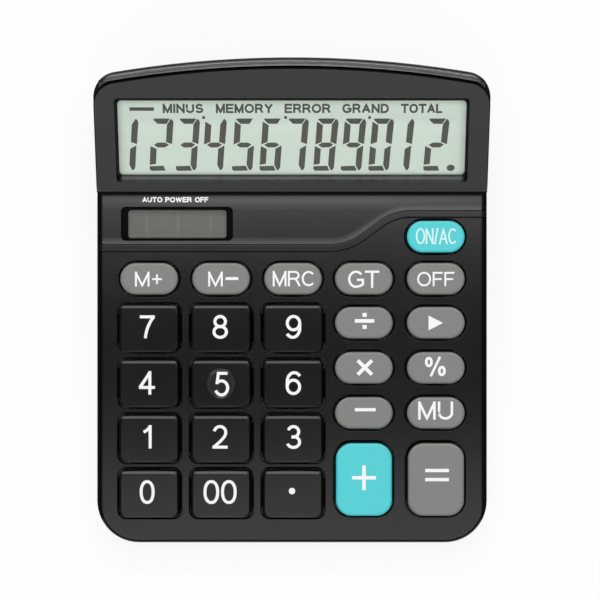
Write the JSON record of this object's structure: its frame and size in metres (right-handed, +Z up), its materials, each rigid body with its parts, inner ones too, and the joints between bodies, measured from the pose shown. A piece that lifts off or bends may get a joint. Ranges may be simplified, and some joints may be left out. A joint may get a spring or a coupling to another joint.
{
  "type": "desk calculator",
  "caption": "Desk calculator with a raised tilted display head, sprung number and function keys, a solar strip, and a cell compartment with a sliding door.",
  "frame": {"origin": "on the table under the middle of the case", "axes": "+Z up, +X to the user's right, -Y towards the user, so the key deck rises and the display head stands at +Y"},
  "size_m": [0.1182, 0.1469, 0.0442],
  "materials": {
    "case_black": "fine satin grain, near-black ABS",
    "bezel_grey": "smooth satin, dark grey",
    "clear_window": "clear moulded acrylic",
    "display_film": "pale grey-green polarising film, matt",
    "display_glass": "thin sheet glass",
    "reflector_foil": "brushed reflecting foil",
    "inner_plastic": "plain moulded",
    "ribbon_film": "thin amber film",
    "solar_window": "clear acrylic",
    "solar_face": "grey-brown amorphous cell under a clear coat",
    "silicone": "soft translucent grey",
    "carbon_pills": "carbon-filled",
    "board_green": "lacquered phenolic board",
    "black_resin": "smooth resin drop",
    "capacitor_can": "sleeved can",
    "cell_jacket": null,
    "plated_metal": "nickel-plated",
    "wire_red": "insulated wire",
    "wire_black": "insulated wire",
    "foot_rubber": "matt black",
    "screw_steel": "zinc-plated",
    "key_black": "satin, near-black",
    "key_grey": "satin, mid grey",
    "key_teal": "satin, light teal blue"
  },
  "bodies": {
    "case": {"upper_case": "case_black", "lower_case": "case_black", "display_bezel": "bezel_grey", "display_window": "clear_window", "lcd_front_polariser": "display_film", "lcd_front_glass": "display_glass", "lcd_rear_glass": "display_glass", "lcd_reflector": "reflector_foil", "lcd_holder": "inner_plastic", "lcd_ribbon": "ribbon_film", "solar_lens": "solar_window", "solar_cell": "solar_face", "dome_mat": "silicone", "contact_pills": "carbon_pills", "circuit_board": "board_green", "chip_blob": "black_resin", "capacitor": "capacitor_can", "battery_cell": "cell_jacket", "battery_spring": "plated_metal", "negative_contact": "plated_metal", "positive_contact": "plated_metal", "battery_wire_red": "wire_red", "battery_wire_black": "wire_black", "solar_wire_red": "wire_red", "solar_wire_black": "wire_black", "rubber_feet": "foot_rubber", "case_screws": "screw_steel", "board_screws": "screw_steel", "holder_screws": "screw_steel"},
    "cap_0": {"key_0": "key_black"},
    "cap_00": {"key_00": "key_black"},
    "cap_point": {"key_point": "key_black"},
    "cap_1": {"key_1": "key_black"},
    "cap_2": {"key_2": "key_black"},
    "cap_3": {"key_3": "key_black"},
    "cap_4": {"key_4": "key_black"},
    "cap_5": {"key_5": "key_black"},
    "cap_6": {"key_6": "key_black"},
    "cap_7": {"key_7": "key_black"},
    "cap_8": {"key_8": "key_black"},
    "cap_9": {"key_9": "key_black"},
    "cap_minus": {"key_minus": "key_grey"},
    "cap_mu": {"key_mu": "key_grey"},
    "cap_multiply": {"key_multiply": "key_grey"},
    "cap_percent": {"key_percent": "key_grey"},
    "cap_divide": {"key_divide": "key_grey"},
    "cap_correct": {"key_correct": "key_grey"},
    "cap_m_plus": {"key_m_plus": "key_grey"},
    "cap_m_minus": {"key_m_minus": "key_grey"},
    "cap_mrc": {"key_mrc": "key_grey"},
    "cap_gt": {"key_gt": "key_grey"},
    "cap_off": {"key_off": "key_grey"},
    "cap_on_ac": {"key_on_ac": "key_teal"},
    "cap_plus": {"key_plus": "key_teal"},
    "cap_equals": {"key_equals": "key_grey"},
    "door": {"battery_door": "case_black"}
  },
  "joints": [
    {"name": "press_0", "type": "slide", "parent": "case", "child": "cap_0", "axis": [0, 0.0958, -0.9954], "range_m": [0, 0.0015], "stiffness_N_per_m": 300, "springref_m": -0.0006, "deforming": ["dome_mat"]},
    {"name": "press_00", "type": "slide", "parent": "case", "child": "cap_00", "axis": [0, 0.0958, -0.9954], "range_m": [0, 0.0015], "stiffness_N_per_m": 300, "springref_m": -0.0006, "deforming": ["dome_mat"]},
    {"name": "press_point", "type": "slide", "parent": "case", "child": "cap_point", "axis": [0, 0.0958, -0.9954], "range_m": [0, 0.0015], "stiffness_N_per_m": 300, "springref_m": -0.0006, "deforming": ["dome_mat"]},
    {"name": "press_1", "type": "slide", "parent": "case", "child": "cap_1", "axis": [0, 0.0958, -0.9954], "range_m": [0, 0.0015], "stiffness_N_per_m": 300, "springref_m": -0.0006, "deforming": ["dome_mat"]},
    {"name": "press_2", "type": "slide", "parent": "case", "child": "cap_2", "axis": [0, 0.0958, -0.9954], "range_m": [0, 0.0015], "stiffness_N_per_m": 300, "springref_m": -0.0006, "deforming": ["dome_mat"]},
    {"name": "press_3", "type": "slide", "parent": "case", "child": "cap_3", "axis": [0, 0.0958, -0.9954], "range_m": [0, 0.0015], "stiffness_N_per_m": 300, "springref_m": -0.0006, "deforming": ["dome_mat"]},
    {"name": "press_4", "type": "slide", "parent": "case", "child": "cap_4", "axis": [0, 0.0958, -0.9954], "range_m": [0, 0.0015], "stiffness_N_per_m": 300, "springref_m": -0.0006, "deforming": ["dome_mat"]},
    {"name": "press_5", "type": "slide", "parent": "case", "child": "cap_5", "axis": [0, 0.0958, -0.9954], "range_m": [0, 0.0015], "stiffness_N_per_m": 300, "springref_m": -0.0006, "deforming": ["dome_mat"]},
    {"name": "press_6", "type": "slide", "parent": "case", "child": "cap_6", "axis": [0, 0.0958, -0.9954], "range_m": [0, 0.0015], "stiffness_N_per_m": 300, "springref_m": -0.0006, "deforming": ["dome_mat"]},
    {"name": "press_7", "type": "slide", "parent": "case", "child": "cap_7", "axis": [0, 0.0958, -0.9954], "range_m": [0, 0.0015], "stiffness_N_per_m": 300, "springref_m": -0.0006, "deforming": ["dome_mat"]},
    {"name": "press_8", "type": "slide", "parent": "case", "child": "cap_8", "axis": [0, 0.0958, -0.9954], "range_m": [0, 0.0015], "stiffness_N_per_m": 300, "springref_m": -0.0006, "deforming": ["dome_mat"]},
    {"name": "press_9", "type": "slide", "parent": "case", "child": "cap_9", "axis": [0, 0.0958, -0.9954], "range_m": [0, 0.0015], "stiffness_N_per_m": 300, "springref_m": -0.0006, "deforming": ["dome_mat"]},
    {"name": "press_minus", "type": "slide", "parent": "case", "child": "cap_minus", "axis": [0, 0.0958, -0.9954], "range_m": [0, 0.0015], "stiffness_N_per_m": 300, "springref_m": -0.0006, "deforming": ["dome_mat"]},
    {"name": "press_mu", "type": "slide", "parent": "case", "child": "cap_mu", "axis": [0, 0.0958, -0.9954], "range_m": [0, 0.0015], "stiffness_N_per_m": 300, "springref_m": -0.0006, "deforming": ["dome_mat"]},
    {"name": "press_multiply", "type": "slide", "parent": "case", "child": "cap_multiply", "axis": [0, 0.0958, -0.9954], "range_m": [0, 0.0015], "stiffness_N_per_m": 300, "springref_m": -0.0006, "deforming": ["dome_mat"]},
    {"name": "press_percent", "type": "slide", "parent": "case", "child": "cap_percent", "axis": [0, 0.0958, -0.9954], "range_m": [0, 0.0015], "stiffness_N_per_m": 300, "springref_m": -0.0006, "deforming": ["dome_mat"]},
    {"name": "press_divide", "type": "slide", "parent": "case", "child": "cap_divide", "axis": [0, 0.0958, -0.9954], "range_m": [0, 0.0015], "stiffness_N_per_m": 300, "springref_m": -0.0006, "deforming": ["dome_mat"]},
    {"name": "press_correct", "type": "slide", "parent": "case", "child": "cap_correct", "axis": [0, 0.0958, -0.9954], "range_m": [0, 0.0015], "stiffness_N_per_m": 300, "springref_m": -0.0006, "deforming": ["dome_mat"]},
    {"name": "press_m_plus", "type": "slide", "parent": "case", "child": "cap_m_plus", "axis": [0, 0.0958, -0.9954], "range_m": [0, 0.0015], "stiffness_N_per_m": 300, "springref_m": -0.0006, "deforming": ["dome_mat"]},
    {"name": "press_m_minus", "type": "slide", "parent": "case", "child": "cap_m_minus", "axis": [0, 0.0958, -0.9954], "range_m": [0, 0.0015], "stiffness_N_per_m": 300, "springref_m": -0.0006, "deforming": ["dome_mat"]},
    {"name": "press_mrc", "type": "slide", "parent": "case", "child": "cap_mrc", "axis": [0, 0.0958, -0.9954], "range_m": [0, 0.0015], "stiffness_N_per_m": 300, "springref_m": -0.0006, "deforming": ["dome_mat"]},
    {"name": "press_gt", "type": "slide", "parent": "case", "child": "cap_gt", "axis": [0, 0.0958, -0.9954], "range_m": [0, 0.0015], "stiffness_N_per_m": 300, "springref_m": -0.0006, "deforming": ["dome_mat"]},
    {"name": "press_off", "type": "slide", "parent": "case", "child": "cap_off", "axis": [0, 0.0958, -0.9954], "range_m": [0, 0.0015], "stiffness_N_per_m": 300, "springref_m": -0.0006, "deforming": ["dome_mat"]},
    {"name": "press_on_ac", "type": "slide", "parent": "case", "child": "cap_on_ac", "axis": [0, 0.0958, -0.9954], "range_m": [0, 0.0015], "stiffness_N_per_m": 300, "springref_m": -0.0006, "deforming": ["dome_mat"]},
    {"name": "press_plus", "type": "slide", "parent": "case", "child": "cap_plus", "axis": [0, 0.0958, -0.9954], "range_m": [0, 0.0015], "stiffness_N_per_m": 300, "springref_m": -0.0006, "deforming": ["dome_mat"]},
    {"name": "press_equals", "type": "slide", "parent": "case", "child": "cap_equals", "axis": [0, 0.0958, -0.9954], "range_m": [0, 0.0015], "stiffness_N_per_m": 300, "springref_m": -0.0006, "deforming": ["dome_mat"]},
    {"name": "door_slide", "type": "slide", "parent": "case", "child": "door", "axis": [0, 1, 0], "range_m": [0, 0.0215]}
  ]
}
